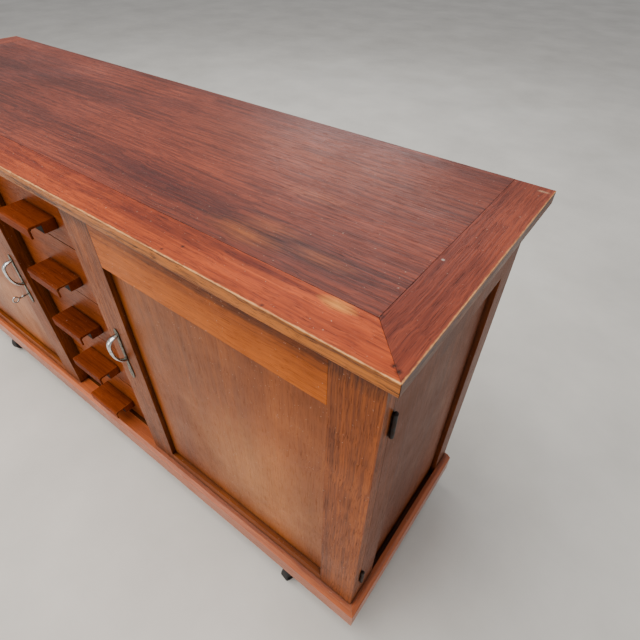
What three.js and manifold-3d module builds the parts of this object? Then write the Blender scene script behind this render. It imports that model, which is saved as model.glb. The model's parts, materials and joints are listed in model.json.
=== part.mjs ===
// Oak sideboard cabinet: a mitred-border top on a frame-and-panel case, two overlay doors,
// a centre column of five drawers with hooded wooden pulls, a plinth and four swivel casters.
// Millimetres, +Z up, +X along the length, the front faces -Y, the floor is z = 0.
import * as THREE from 'three';
import { mergeVertices } from 'three/addons/utils/BufferGeometryUtils.js';
import Module from 'manifold-3d';

const wasm = await Module();
wasm.setup();

// ---------------------------------------------------------------- driving dimensions
const TOP_W = 1682;              // length of the top
const TOP_D = 500;               // depth of the top
const TOP_T = 22;                // thickness of the top
const TOP_Z = 908;               // height of the top surface over the floor
const BORDER_FRONT = 68.5;       // width of the front border of the top
const BORDER_END = 67.5;         // width of the end borders of the top
const OVERHANG = 20.7;           // the top past the doors, the case ends and the back
const DOOR_T = 24.5;             // thickness of a door
const SEAM = 0.3;                // gap between pieces that touch
const CASTER_H = 80;             // floor to the underside of the plinth
const PLINTH_H = 60;             // height of the plinth
const PLINTH_OUT = 17.7;         // how far the plinth stands out from doors and ends
const PLINTH_CHAMFER = 8;        // slope along the plinth's upper edge
const BOARD = 22;                // thickness of the case boards
const COLUMN_HALF = 177;         // half of the opening between the two doors
const DRAWERS = 5;
const DRAWER_SET_BACK = 8.5;     // drawer faces behind the front edge of the case
const DRAWER_GAP = 2;            // gap between two drawer fronts
const RAIL_UNDER_TOP = 20;       // rail under the top, over the drawers
const DOOR_GAP = 1.5;            // clearance over and under a door
const STILE = 80;                // width of a door stile
const DOOR_TOP_RAIL = 113;       // height of a door's top rail
const DOOR_BOTTOM_RAIL = 27;     // height of a door's bottom rail
const DOOR_PANEL_BACK = 11;      // door panel behind the face of its frame
const END_STILE = 62;            // width of the stiles of the case ends
const END_PANEL_BACK = 11;       // end panel behind the face of its frame
const HINGE_LONG = 47;           // length of a hinge knuckle
const HINGE_INSET = 88;          // hinge end to the end of its door
const PIN_R = 3.6;               // radius of a hinge knuckle
const PULL_W = 118;              // width of a drawer pull
const PULL_D = 55;               // how far a drawer pull stands out
const PULL_H = 25;               // height of a drawer pull
const PULL_DROP = 80;            // top of a drawer front to the top of its pull
const HANDLE_X = 213;            // middle of a door handle from the middle of the cabinet
const HANDLE_LOW = 447;          // lower tip of a handle's plate over the floor
const HANDLE_LONG = 153;         // length of a handle's plate
const HANDLE_RISE = 26;          // door face to the middle of a handle's grip
const KEY_REACH = 35;            // door face to the middle of the key's ring
const WHEEL_R = 29;              // radius of a caster wheel
const CASTER_INSET = 165;        // end of the case to a caster's pivot

// ---------------------------------------------------------------- derived places
const HALF = TOP_W / 2;
const CASE_X = HALF - OVERHANG;                     // outer face of the case ends
const PLINTH_X = CASE_X + PLINTH_OUT;
const PLINTH_TOP = CASTER_H + PLINTH_H;
const UNDER_TOP = TOP_Z - TOP_T;
const KEY_RING_R = 7.2;
const KEY_RING_WIRE = 1.8;
const DOOR_FACE_FROM_TOP = OVERHANG;                // door face behind the front edge of the top
const FOREMOST = DOOR_FACE_FROM_TOP - KEY_REACH - KEY_RING_R - KEY_RING_WIRE;
const FRONT_Y = -(TOP_D - FOREMOST) / 2 - FOREMOST; // front edge of the top, depth centred on the origin
const BACK_Y = FRONT_Y + TOP_D;
const DOOR_Y = FRONT_Y + DOOR_FACE_FROM_TOP;        // face of the doors
const DOOR_BACK_Y = DOOR_Y + DOOR_T;
const CASE_Y = DOOR_BACK_Y + SEAM;                  // front edge of the case
const CASE_BACK_Y = BACK_Y - OVERHANG;
const BACK_BOARD = 10;
const INNER_BACK_Y = CASE_BACK_Y - BACK_BOARD;
const DRAWER_Y = CASE_Y + DRAWER_SET_BACK;          // face of the drawer fronts
const DOOR_Z0 = PLINTH_TOP + DOOR_GAP;
const DOOR_Z1 = UNDER_TOP - DOOR_GAP;
const COLUMN_TOP = UNDER_TOP - RAIL_UNDER_TOP;
const DRAWER_PITCH = (COLUMN_TOP - PLINTH_TOP - DRAWER_GAP) / DRAWERS;
const HINGE_PIN_X = CASE_X + PIN_R + SEAM;
const HINGE_PIN_Y = CASE_Y - SEAM / 2;
const CASTER_X = CASE_X - CASTER_INSET;
const BATTEN = 90;

// ---------------------------------------------------------------- finishes
const oak = (color, roughness = 0.42) => new THREE.MeshStandardMaterial({ color, roughness, metalness: 0 });
const metal = (color, roughness) => new THREE.MeshStandardMaterial({ color, roughness, metalness: 1 });
const TOP_OAK = oak(0x784b44, 0.38);
const BORDER_OAK = oak(0x9a5641, 0.36);
const RAIL_OAK = oak(0xb46a33);
const STILE_OAK = oak(0x965a3c);
const PANEL_OAK = oak(0x966446);
const CASE_OAK = oak(0x6e5546, 0.5);
const DRAWER_OAK = oak(0x8c5f4b);
const PULL_OAK = oak(0xa4521f);
const PLINTH_OAK = oak(0x8a4a22);
const INNER_WOOD = oak(0xa98a63, 0.7);
const IRON = metal(0x14110f, 0.55);
const NICKEL = metal(0xc9cdd0, 0.2);
const RUBBER = new THREE.MeshStandardMaterial({ color: 0x17171a, roughness: 0.7, metalness: 0 });

// ---------------------------------------------------------------- helpers
const group = new THREE.Group();

function place(name, geometry, material) {
  const mesh = new THREE.Mesh(geometry, material);
  mesh.name = name;
  group.add(mesh);
  return mesh;
}

// A box between two corners.
function block([x0, y0, z0], [x1, y1, z1]) {
  const geometry = new THREE.BoxGeometry(Math.abs(x1 - x0), Math.abs(y1 - y0), Math.abs(z1 - z0));
  return geometry.translate((x0 + x1) / 2, (y0 + y1) / 2, (z0 + z1) / 2);
}

// A flat outline in plan, raised from z0 to z1.
function slab(outline, z0, z1) {
  const shape = new THREE.Shape(outline.map(([x, y]) => new THREE.Vector2(x, y)));
  const geometry = new THREE.ExtrudeGeometry(shape, { depth: z1 - z0, bevelEnabled: false });
  return geometry.translate(0, 0, z0);
}

// An outline in (y, z), extended along X from x0 to x1.
function profileAlongX(outline, x0, x1) {
  const shape = new THREE.Shape(outline.map(([y, z]) => new THREE.Vector2(y, z)));
  const geometry = new THREE.ExtrudeGeometry(shape, { depth: x1 - x0, bevelEnabled: false });
  geometry.applyMatrix4(new THREE.Matrix4().makeBasis(
    new THREE.Vector3(0, 1, 0), new THREE.Vector3(0, 0, 1), new THREE.Vector3(1, 0, 0)));
  return geometry.translate(x0, 0, 0);
}

// An upright cylinder from z0 to z1.
function post(x, y, z0, z1, radius, sides = 16) {
  const geometry = new THREE.CylinderGeometry(radius, radius, z1 - z0, sides);
  return geometry.rotateX(Math.PI / 2).translate(x, y, (z0 + z1) / 2);
}

function toSolid(geometry) {
  const bare = geometry.clone();
  bare.deleteAttribute('normal');
  bare.deleteAttribute('uv');
  const merged = mergeVertices(bare, 1e-4);
  return new wasm.Manifold(new wasm.Mesh({
    numProp: 3,
    vertProperties: new Float32Array(merged.attributes.position.array),
    triVerts: new Uint32Array(merged.index.array),
  }));
}

function toGeometry(solid) {
  const mesh = solid.getMesh();
  const geometry = new THREE.BufferGeometry();
  geometry.setAttribute('position', new THREE.BufferAttribute(mesh.vertProperties, 3));
  geometry.setIndex(new THREE.BufferAttribute(mesh.triVerts, 1));
  return geometry;
}

const joined = (...parts) => toGeometry(parts.map(toSolid).reduce((a, b) => a.add(b)));
const cut = (body, ...tools) => toGeometry(tools.map(toSolid).reduce((a, b) => a.subtract(b), toSolid(body)));

// ---------------------------------------------------------------- the top
function buildTop() {
  const yIn = FRONT_Y + BORDER_FRONT;
  const xIn = HALF - BORDER_END;
  const g = SEAM / 2;
  place('top_centre_panel', block([-xIn + g, yIn + g, UNDER_TOP], [xIn - g, BACK_Y, TOP_Z]), TOP_OAK);
  const front = [[-HALF + g, FRONT_Y], [HALF - g, FRONT_Y], [xIn - g, yIn - g], [-xIn + g, yIn - g]];
  place('top_front_border', slab(front, UNDER_TOP, TOP_Z), BORDER_OAK);
  for (const [side, name] of [[-1, 'left'], [1, 'right']]) {
    const end = [[HALF, FRONT_Y + g], [HALF, BACK_Y], [xIn + g, BACK_Y], [xIn + g, yIn + g]];
    const outline = side > 0 ? end : end.map(([x, y]) => [-x, y]).reverse();
    place(`top_${name}_border`, slab(outline, UNDER_TOP, TOP_Z), BORDER_OAK);
  }
}

// ---------------------------------------------------------------- the case
function buildCase() {
  const topZ = UNDER_TOP - SEAM;
  const inner = CASE_X - BOARD;
  for (const [side, name] of [[-1, 'left'], [1, 'right']]) {
    const board = block([side * inner, CASE_Y, CASTER_H], [side * CASE_X, CASE_BACK_Y, topZ]);
    const opening = block(
      [side * (inner - 1), CASE_Y + END_STILE, PLINTH_TOP - 30],
      [side * (CASE_X + 1), CASE_BACK_Y - END_STILE, UNDER_TOP - DOOR_TOP_RAIL]);
    // The hinge leaves are let into the front edge.
    const beds = hingeBottoms().map((z) => block(
      [side * (CASE_X + 1), CASE_Y - 1, z - SEAM],
      [side * (CASE_X - LEAF_IN - SEAM), CASE_Y + LEAF_T + SEAM, z + HINGE_LONG + SEAM]));
    place(`end_frame_${name}`, cut(board, opening, ...beds), CASE_OAK);
    place(`end_panel_${name}`, block(
      [side * inner, CASE_Y + END_STILE + SEAM, PLINTH_TOP - 30 + SEAM],
      [side * (CASE_X - END_PANEL_BACK), CASE_BACK_Y - END_STILE - SEAM, UNDER_TOP - DOOR_TOP_RAIL - SEAM]), CASE_OAK);
    place(`partition_${name}`, partition(side, topZ), INNER_WOOD);
  }
  const reach = inner - SEAM;
  const bottom = block([-reach, CASE_Y, PLINTH_TOP - BOARD], [reach, INNER_BACK_Y - SEAM, PLINTH_TOP]);
  // Two battens under the bottom board carry the casters.
  const battens = [-1, 1].map((side) => block(
    [side * (CASTER_X - BATTEN / 2), CASE_Y, CASTER_H], [side * (CASTER_X + BATTEN / 2), INNER_BACK_Y - SEAM, PLINTH_TOP - BOARD + 1]));
  place('case_bottom', joined(bottom, ...battens), INNER_WOOD);
  place('back_panel', block([-reach, INNER_BACK_Y, CASTER_H + SEAM], [reach, CASE_BACK_Y, topZ]), INNER_WOOD);
  place('rail_under_top', block([-reach, CASE_Y, COLUMN_TOP], [reach, CASE_Y + BOARD, topZ]), STILE_OAK);
}

// An upright board beside the drawers, with one runner under each drawer.
function partition(side, topZ) {
  const x0 = side * COLUMN_HALF;
  const x1 = side * (COLUMN_HALF + BOARD);
  const bottom = PLINTH_TOP + SEAM;
  const board = block([x0, CASE_Y, bottom], [x1, INNER_BACK_Y - SEAM, topZ]);
  const notch = block([x0 - side, CASE_Y - 1, COLUMN_TOP - SEAM], [x1 + side, CASE_Y + BOARD + SEAM, topZ + 1]);
  const runners = [];
  for (let k = 0; k < DRAWERS; k += 1) {
    const z = drawerBottom(k);
    const top = z + BOX_UP - SEAM;
    runners.push(toSolid(block([side * RUNNER_X, CASE_Y + 32, top - 10], [x0 + side, INNER_BACK_Y - 12, top])));
  }
  const solid = toSolid(board).subtract(toSolid(notch));
  return toGeometry(runners.reduce((a, b) => a.add(b), solid));
}

// ---------------------------------------------------------------- the plinth
function buildPlinth() {
  const g = SEAM / 2;
  const y0 = DOOR_Y - PLINTH_OUT;
  const y1 = DOOR_Y - SEAM;
  const front = [
    [-PLINTH_X + g, y0], [PLINTH_X - g, y0], [CASE_X + SEAM, y1 - g], [CASE_X, y1], [CASE_X, DOOR_BACK_Y],
    [-CASE_X, DOOR_BACK_Y], [-CASE_X, y1], [-CASE_X - SEAM, y1 - g]];
  const c = PLINTH_CHAMFER;
  const slope = (x0, x1) => profileAlongX(
    [[y0 - 1, PLINTH_TOP - c - 1], [y0 + c + 1, PLINTH_TOP + 1], [y0 - 1, PLINTH_TOP + 1]], x0, x1);
  place('plinth_front', cut(slab(front, CASTER_H, PLINTH_TOP), slope(-PLINTH_X - 2, PLINTH_X + 2)), PLINTH_OAK);
  for (const [side, name] of [[-1, 'left'], [1, 'right']]) {
    const end = [
      [PLINTH_X, y0 + SEAM], [PLINTH_X, CASE_BACK_Y], [CASE_X + SEAM, CASE_BACK_Y], [CASE_X + SEAM, y1 + SEAM]];
    const outline = side > 0 ? end : end.map(([x, y]) => [-x, y]).reverse();
    // The same slope, turned to run along the end.
    const endSlope = slope(y0 - 2, CASE_BACK_Y + 2).rotateZ(Math.PI / 2).translate(PLINTH_X + y0, 0, 0);
    const tool = side > 0 ? endSlope : endSlope.rotateZ(Math.PI).translate(0, y0 + CASE_BACK_Y, 0);
    place(`plinth_${name}`, cut(slab(outline, CASTER_H, PLINTH_TOP), tool), PLINTH_OAK);
  }
}

// ---------------------------------------------------------------- the doors
function buildDoor(side, name) {
  const xIn = side * COLUMN_HALF;
  const xOut = side * CASE_X;
  const xa = xIn + side * STILE;
  const xb = xOut - side * STILE;
  const y0 = DOOR_Y;
  const y1 = DOOR_BACK_Y;
  const g = side * SEAM;
  const z0 = DOOR_Z0;
  const z1 = DOOR_Z1;
  const hingeZ = hingeBottoms();

  // The hinge leaves are let into the outer stile's edge.
  const hingeBeds = hingeZ.map((z) => block(
    [xOut + side, y1 + 1, z - SEAM], [xOut - side * (LEAF_IN + SEAM), y1 - LEAF_T - SEAM, z + HINGE_LONG + SEAM]));
  const knuckleBeds = hingeZ.map((z) => post(
    side * HINGE_PIN_X, HINGE_PIN_Y, z - SEAM, z + HINGE_LONG + SEAM, PIN_R + SEAM));
  place(`door_${name}_hinge_stile`, cut(block([xb, y0, z0], [xOut, y1, z1]), ...hingeBeds, ...knuckleBeds), STILE_OAK);

  const meeting = block([xIn, y0, z0], [xa, y1, z1]);
  const keyhole = post(0, 0, -1, KEY_DEPTH, KEY_HOLE_R).rotateX(-Math.PI / 2).translate(side * LOCK_X, y0, LOCK_Z);
  place(`door_${name}_meeting_stile`, name === 'left' ? cut(meeting, keyhole) : meeting, STILE_OAK);
  place(`door_${name}_top_rail`, block([xa + g, y0, z1 - DOOR_TOP_RAIL], [xb - g, y1, z1]), RAIL_OAK);
  place(`door_${name}_bottom_rail`, block([xa + g, y0, z0], [xb - g, y1, z0 + DOOR_BOTTOM_RAIL]), RAIL_OAK);
  place(`door_${name}_panel`, block(
    [xa + g, y0 + DOOR_PANEL_BACK, z0 + DOOR_BOTTOM_RAIL + SEAM],
    [xb - g, y1 - 4, z1 - DOOR_TOP_RAIL - SEAM]), PANEL_OAK);
  place(`door_${name}_handle`, handle(side * HANDLE_X, y0 - SEAM), NICKEL);
}

// A bow handle on a long plate: the bow stands on the plate's upper part, the lower
// end of the plate is a drop-shaped escutcheon with a keyhole.
function handle(x, yFace) {
  const at = (z) => HANDLE_LOW + z;
  const outline = [
    [0, 0], [4.5, 3], [7, 9], [8, 18], [7.6, 30], [6, 42], [4.4, 52], [4.4, 62], [5, 80], [5, 100], [4.4, 118],
    [4.8, 128], [6.4, 136], [6.6, 143], [4.6, 150], [0, HANDLE_LONG]];
  const mirrored = outline.slice(1, -1).reverse().map(([w, z]) => [-w, z]);
  const shape = new THREE.Shape([...outline, ...mirrored].map(([w, z]) => new THREE.Vector2(w, z)));
  const hole = new THREE.Path();
  hole.absarc(0, KEY_HOLE_UP, KEY_HOLE_R, 0, Math.PI * 2, true);
  shape.holes.push(hole);
  const plate = new THREE.ExtrudeGeometry(shape, { depth: HANDLE_PLATE, bevelEnabled: false, curveSegments: 8 });
  plate.rotateX(Math.PI / 2).translate(x, yFace, HANDLE_LOW);

  const rise = (y) => yFace - y;
  const path = new THREE.CatmullRomCurve3([
    [1.2, 134], [9, 134], [18, 131.5], [HANDLE_RISE - 1.5, 125], [HANDLE_RISE, 112], [HANDLE_RISE - 1, 96],
    [HANDLE_RISE - 5, 80], [14, 69], [6, 63.5], [1.6, 63]].map(([y, z]) => new THREE.Vector3(x, rise(y), at(z))));
  const section = new THREE.Shape();
  section.absellipse(0, 0, 2.6, 4.4, 0, Math.PI * 2);
  const bow = new THREE.ExtrudeGeometry(section, {
    extrudePath: path, steps: 22, curveSegments: 10, bevelEnabled: false });
  return joined(plate, bow);
}

// ---------------------------------------------------------------- the hinges
const LEAF_T = 1.6;
const LEAF_IN = 17;
const KNUCKLES = 5;

const hingeBottoms = () => [DOOR_Z0 + HINGE_INSET, DOOR_Z1 - HINGE_INSET - HINGE_LONG];

// One leaf with its knuckles. Even knuckles belong to the door, odd ones to the case.
function hingeLeaf(side, z, onDoor) {
  const long = HINGE_LONG / KNUCKLES;
  const x = side * HINGE_PIN_X;
  const leafY = onDoor ? [DOOR_BACK_Y - LEAF_T, DOOR_BACK_Y] : [CASE_Y, CASE_Y + LEAF_T];
  let solid = toSolid(block([x, leafY[0], z], [side * (CASE_X - LEAF_IN), leafY[1], z + HINGE_LONG]));
  for (let k = 0; k < KNUCKLES; k += 1) {
    const mine = (k % 2 === 0) === onDoor;
    const z0 = z + k * long;
    const gap = SEAM / 2;
    const low = k === 0 ? z0 - 1 : z0 + (mine ? gap : -gap);
    const high = k === KNUCKLES - 1 ? z0 + long + 1 : z0 + long - (mine ? gap : -gap);
    const knuckle = toSolid(post(x, HINGE_PIN_Y, low, high, mine ? PIN_R : PIN_R + SEAM));
    solid = mine ? solid.add(knuckle) : solid.subtract(knuckle);
  }
  if (onDoor) {
    // The pin runs through all the knuckles and ends in a small turned finial.
    const pin = toSolid(post(x, HINGE_PIN_Y, z - 1, z + HINGE_LONG + 1, 1.6, 12));
    const finials = [z - 1.6, z + HINGE_LONG + 1.6].map(
      (end) => toSolid(new THREE.SphereGeometry(2.8, 12, 8).translate(x, HINGE_PIN_Y, end)));
    return toGeometry(finials.reduce((a, b) => a.add(b), solid.add(pin)));
  }
  return toGeometry(solid.subtract(toSolid(post(x, HINGE_PIN_Y, z - 2, z + HINGE_LONG + 2, 1.6 + SEAM, 12))));
}

function buildHinges() {
  for (const [side, name] of [[-1, 'left'], [1, 'right']]) {
    hingeBottoms().forEach((z, k) => {
      const level = k === 0 ? 'low' : 'high';
      place(`hinge_${name}_${level}_door_leaf`, hingeLeaf(side, z, true), IRON);
      place(`hinge_${name}_${level}_case_leaf`, hingeLeaf(side, z, false), IRON);
    });
  }
}

// ---------------------------------------------------------------- the lock's key
const HANDLE_PLATE = 2;
const KEY_HOLE_UP = 31;
const KEY_DEPTH = 16;
const KEY_HOLE_R = 3;
const KEY_R = 2.4;
const LOCK_X = HANDLE_X;
const LOCK_Z = HANDLE_LOW + KEY_HOLE_UP;

// A barrel key standing in the left door's lock: shaft, collar and a ring to turn it by.
function buildKey() {
  const x = -LOCK_X;
  const alongY = (r, y0, y1) => post(0, 0, -y1, -y0, r, 12).rotateX(Math.PI / 2).translate(x, 0, LOCK_Z);
  const shaft = alongY(KEY_R, DOOR_Y - KEY_REACH + KEY_RING_R, DOOR_Y + KEY_DEPTH - 1);
  const collar = alongY(3.6, DOOR_Y - 12, DOOR_Y - 9.5);
  const ring = new THREE.TorusGeometry(KEY_RING_R, KEY_RING_WIRE, 8, 22);
  ring.rotateY(Math.PI / 2).translate(x, DOOR_Y - KEY_REACH, LOCK_Z);
  place('key', joined(shaft, collar, ring), NICKEL);
}

// ---------------------------------------------------------------- the drawers
const BOX_WALL = 11;
const BOX_HALF = COLUMN_HALF - 2;
const BOX_LONG = 372;
const BOX_UP = 12;
const RUNNER_X = COLUMN_HALF - 16;
const drawerBottom = (k) => COLUMN_TOP - (k + 1) * DRAWER_PITCH;

// Drawer 1 is the top one.
function buildDrawer(k) {
  const z0 = drawerBottom(k);
  const z1 = z0 + DRAWER_PITCH - DRAWER_GAP;
  const faceHalf = COLUMN_HALF - 1.5;
  const yBox = DRAWER_Y + 20;
  const yEnd = yBox + BOX_LONG;
  const boxZ = z0 + BOX_UP;
  const boxTop = z1 - BOX_UP;
  const front = block([-faceHalf, DRAWER_Y, z0], [faceHalf, yBox, z1]);
  const shell = block([-BOX_HALF, yBox - 1, boxZ], [BOX_HALF, yEnd, boxTop]);
  const hollow = block([-BOX_HALF + BOX_WALL, yBox, boxZ + 7], [BOX_HALF - BOX_WALL, yEnd - BOX_WALL, boxTop + 1]);
  place(`drawer_${k + 1}`, toGeometry(toSolid(shell).subtract(toSolid(hollow)).add(toSolid(front))), DRAWER_OAK);
  place(`drawer_${k + 1}_pull`, pull(z1 - PULL_DROP), PULL_OAK);
}

// A hooded pull: a thin top board and front lip over a finger groove, on a solid back block.
function pull(zTop) {
  const yBack = DRAWER_Y - SEAM;
  const yFront = yBack - PULL_D;
  const grooveBack = yFront + PULL_D * 0.48;
  const lip = 4.5;
  const board = 5;
  const outline = [
    [yBack, zTop], [yFront + 3, zTop], [yFront, zTop - 3], [yFront, zTop - PULL_H + 1.5],
    [yFront + 1.5, zTop - PULL_H], [yFront + lip, zTop - PULL_H], [yFront + lip, zTop - board - 3],
    [yFront + lip + 3, zTop - board], [grooveBack, zTop - board], [grooveBack, zTop - PULL_H + 0.5],
    [yBack, zTop - PULL_H]];
  return profileAlongX(outline, -PULL_W / 2, PULL_W / 2);
}

// ---------------------------------------------------------------- the casters
const FORK_T = 3;
const WHEEL_HALF = 10;
const TRAIL = 26;
const PLATE_T = 4;

// A swivel caster: fixed plate and kingpin, swivelling fork, rolling wheel.
function buildCaster(name, x, y, heading) {
  const at = (geometry) => geometry.rotateZ(heading).translate(x, y, 0);
  const plateZ = CASTER_H - SEAM;
  const underside = plateZ - PLATE_T;
  const plate = block([-24, -24, underside], [24, 24, plateZ]);
  const kingpin = post(0, 0, underside - 16, underside + 1, 5);
  place(`caster_${name}_plate`, at(joined(plate, kingpin)), IRON);

  // The fork's crown turns round the kingpin and its two arms reach the axle.
  const crownTop = underside - SEAM;
  const crown = post(0, 0, crownTop - 7, crownTop, 17, 20);
  const bore = post(0, 0, crownTop - 20, crownTop + 1, 5 + SEAM);
  const reach = WHEEL_HALF + SEAM + 0.9;
  const arms = [-1, 1].map((end) => {
    const outline = [[6, crownTop - 6], [-TRAIL + 7, WHEEL_R - 6], [-TRAIL - 6, WHEEL_R - 6], [-17, crownTop - 6]];
    const plain = profileAlongX(outline.reverse(), 0, FORK_T);
    return plain.translate(end > 0 ? reach : -reach - FORK_T, 0, 0);
  });
  const bridge = block([-reach - FORK_T, -17, crownTop - 7], [reach + FORK_T, 6, crownTop - 3.5]);
  const axle = post(0, 0, -reach - 1, reach + 1, 3, 12).rotateY(Math.PI / 2).translate(0, -TRAIL, WHEEL_R);
  const forkParts = [crown, bridge, ...arms, axle].map(toSolid).reduce((a, b) => a.add(b));
  place(`caster_${name}_fork`, at(toGeometry(forkParts.subtract(toSolid(bore)))), IRON);

  const r = WHEEL_R;
  const h = WHEEL_HALF;
  const bored = 3 + SEAM;
  const section = [[bored, -h], [r - 4, -h], [r - 1, -h + 2], [r, -h + 5], [r, h - 5], [r - 1, h - 2], [r - 4, h], [bored, h]];
  const wheel = new THREE.LatheGeometry([...section, section[0]].map(([a, b]) => new THREE.Vector2(a, b)), 28);
  place(`caster_${name}_wheel`, at(wheel.rotateZ(Math.PI / 2).translate(0, -TRAIL, WHEEL_R)), RUBBER);
}

// ---------------------------------------------------------------- assembly
buildTop();
buildCase();
buildPlinth();
buildDoor(-1, 'left');
buildDoor(1, 'right');
buildHinges();
buildKey();
for (let k = 0; k < DRAWERS; k += 1) buildDrawer(k);
const casterFrontY = CASE_Y + 10;
const casterBackY = CASE_BACK_Y - 62;
buildCaster('front_left', -CASTER_X, casterFrontY, 0.35);
buildCaster('front_right', CASTER_X, casterFrontY, -0.2);
buildCaster('back_left', -CASTER_X, casterBackY, 0.15);
buildCaster('back_right', CASTER_X, casterBackY, -0.3);

export default group;
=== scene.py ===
"""Oak sideboard cabinet: finishes, turned and cast fittings, floor, light and camera."""

from __future__ import annotations

import json
import logging
import math
from dataclasses import dataclass, replace
from enum import Enum
from typing import Any, Callable

import bpy
from mathutils import Matrix, Vector


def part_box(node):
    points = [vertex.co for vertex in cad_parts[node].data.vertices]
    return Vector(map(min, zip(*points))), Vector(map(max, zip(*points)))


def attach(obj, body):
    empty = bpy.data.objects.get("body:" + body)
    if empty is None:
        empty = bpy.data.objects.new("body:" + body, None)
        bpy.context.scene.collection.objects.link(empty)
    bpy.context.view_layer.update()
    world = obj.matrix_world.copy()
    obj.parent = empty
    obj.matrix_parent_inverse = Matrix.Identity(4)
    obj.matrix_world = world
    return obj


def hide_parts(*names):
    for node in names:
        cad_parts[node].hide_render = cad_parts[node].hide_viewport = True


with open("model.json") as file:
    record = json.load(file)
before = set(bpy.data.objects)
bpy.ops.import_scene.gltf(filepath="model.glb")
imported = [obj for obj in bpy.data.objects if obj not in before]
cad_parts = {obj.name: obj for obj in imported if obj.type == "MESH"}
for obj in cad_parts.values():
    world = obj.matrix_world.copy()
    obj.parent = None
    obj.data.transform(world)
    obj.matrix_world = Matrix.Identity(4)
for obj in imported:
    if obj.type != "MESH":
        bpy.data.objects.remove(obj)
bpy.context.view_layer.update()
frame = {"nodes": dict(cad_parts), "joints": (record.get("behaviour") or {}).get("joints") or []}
LOG = logging.getLogger("cabinet")
MM = 0.001


# ------------------------------------------------------------------ choices and colours
class Grain(Enum):
    """Which way the grain of a board runs."""

    LENGTH = "X"
    DEPTH = "Y"
    HEIGHT = "Z"


class Side(Enum):
    """The two halves of the cabinet, seen from the front."""

    LEFT = -1
    RIGHT = 1

    @property
    def word(self) -> str:
        """The side's word in node names."""
        return self.name.lower()


class Corner(Enum):
    """The four casters."""

    FRONT_LEFT = "front_left"
    FRONT_RIGHT = "front_right"
    BACK_LEFT = "back_left"
    BACK_RIGHT = "back_right"


def rgb(red: int, green: int, blue: int) -> tuple[float, float, float, float]:
    """Turns a screen colour into a linear one.

    Args:
        red: 0 to 255.
        green: 0 to 255.
        blue: 0 to 255.

    Returns:
        The linear colour with alpha 1.
    """

    def linear(value: int) -> float:
        """One channel, from screen to linear."""
        share = value / 255
        return share / 12.92 if share <= 0.04045 else ((share + 0.055) / 1.055) ** 2.4

    return (linear(red), linear(green), linear(blue), 1.0)


# Painted shade in narrow gaps and inner corners: how strong it is, and its colour.
CONTACT_AMOUNT = 0.9
CONTACT_SHADE_COLOUR = rgb(24, 11, 6)
DUST = rgb(190, 170, 150)
RAW_DARK = rgb(150, 118, 82)
RAW_LIGHT = rgb(192, 162, 120)
FACE_STREAK = rgb(70, 32, 10)
FACE_PORE = rgb(30, 14, 8)
# The colour of the painted shade inside the pulls' finger grooves.
GROOVE_SHADE = rgb(16, 8, 6)
# Linear shades that darken the wood under them.
RIB_SHADE = (0.3, 0.2, 0.2, 1.0)
PORE_SHADE = (0.2, 0.13, 0.12, 1.0)
CLOUD_SHADE = (0.5, 0.42, 0.4, 1.0)
# Faces that meet at less than this many degrees are shaded as one.
SMOOTH_BELOW = 40.0


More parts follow.
